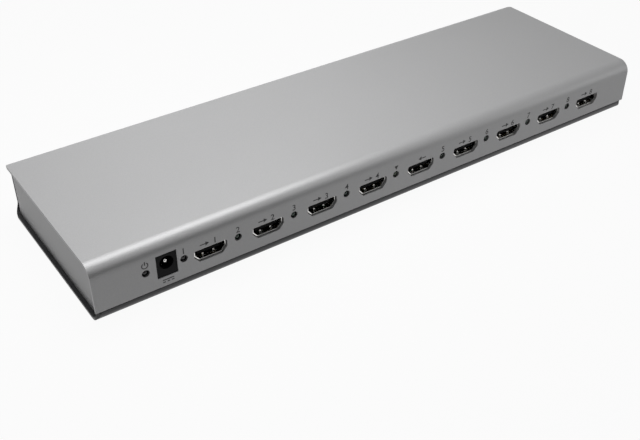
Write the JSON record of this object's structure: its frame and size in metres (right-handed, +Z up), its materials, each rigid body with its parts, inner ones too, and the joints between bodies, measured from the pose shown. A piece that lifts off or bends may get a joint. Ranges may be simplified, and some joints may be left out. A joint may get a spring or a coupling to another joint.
{
  "type": "video splitter",
  "caption": "Flat silver-grey sheet-metal video splitter box with a row of video sockets, small indicator lamps and a round power jack along its long front.",
  "frame": {"origin": "on the surface that the feet stand on, under the middle of the housing", "axes": "+X along the socket row towards the last output, -Y out of the front with the sockets, +Z up"},
  "size_m": [0.306, 0.0944, 0.0295],
  "materials": {
    "housing": "satin silver grey",
    "foot": "matt",
    "screw": "zinc plated",
    "board": "solder mask",
    "standoff": "turned",
    "socket_shell": "nickel plated",
    "insulator": "moulded",
    "contact": "gold flash",
    "lamp_green": "tinted clear, unlit",
    "lamp_yellow_green": "tinted clear, unlit",
    "lamp_dark": "tinted clear, unlit",
    "lead": "tinned",
    "jack_body": "moulded",
    "jack_metal": "nickel plated",
    "chip": "moulded",
    "pad": "soft",
    "heat_sink": "black anodised",
    "can": "drawn",
    "choke": "moulded"
  },
  "bodies": {
    "root": {"cover": "housing", "base_tray": "housing", "left_end_plate": "housing", "right_end_plate": "housing", "rubber_feet": "foot", "base_screws": "screw", "board_screws": "screw", "main_board": "board", "standoffs": "standoff", "socket_1_shell": "socket_shell", "socket_2_shell": "socket_shell", "socket_3_shell": "socket_shell", "socket_4_shell": "socket_shell", "socket_in_shell": "socket_shell", "socket_5_shell": "socket_shell", "socket_6_shell": "socket_shell", "socket_7_shell": "socket_shell", "socket_8_shell": "socket_shell", "socket_1_insulator": "insulator", "socket_2_insulator": "insulator", "socket_3_insulator": "insulator", "socket_4_insulator": "insulator", "socket_in_insulator": "insulator", "socket_5_insulator": "insulator", "socket_6_insulator": "insulator", "socket_7_insulator": "insulator", "socket_8_insulator": "insulator", "socket_1_contacts": "contact", "socket_2_contacts": "contact", "socket_3_contacts": "contact", "socket_4_contacts": "contact", "socket_in_contacts": "contact", "socket_5_contacts": "contact", "socket_6_contacts": "contact", "socket_7_contacts": "contact", "socket_8_contacts": "contact", "lamp_power": "lamp_dark", "lamp_1": "lamp_dark", "lamp_2": "lamp_green", "lamp_3": "lamp_green", "lamp_4": "lamp_green", "lamp_in": "lamp_yellow_green", "lamp_5": "lamp_green", "lamp_6": "lamp_green", "lamp_7": "lamp_green", "lamp_8": "lamp_green", "lamp_leads": "lead", "jack_housing": "jack_body", "jack_pin": "jack_metal", "jack_spring": "jack_metal", "splitter_chip_left": "chip", "splitter_chip_right": "chip", "control_chip": "chip", "thermal_pads": "pad", "heat_sink_left": "heat_sink", "heat_sink_right": "heat_sink", "crystal": "can", "power_capacitors": "can", "power_choke": "choke"}
  },
  "joints": []
}
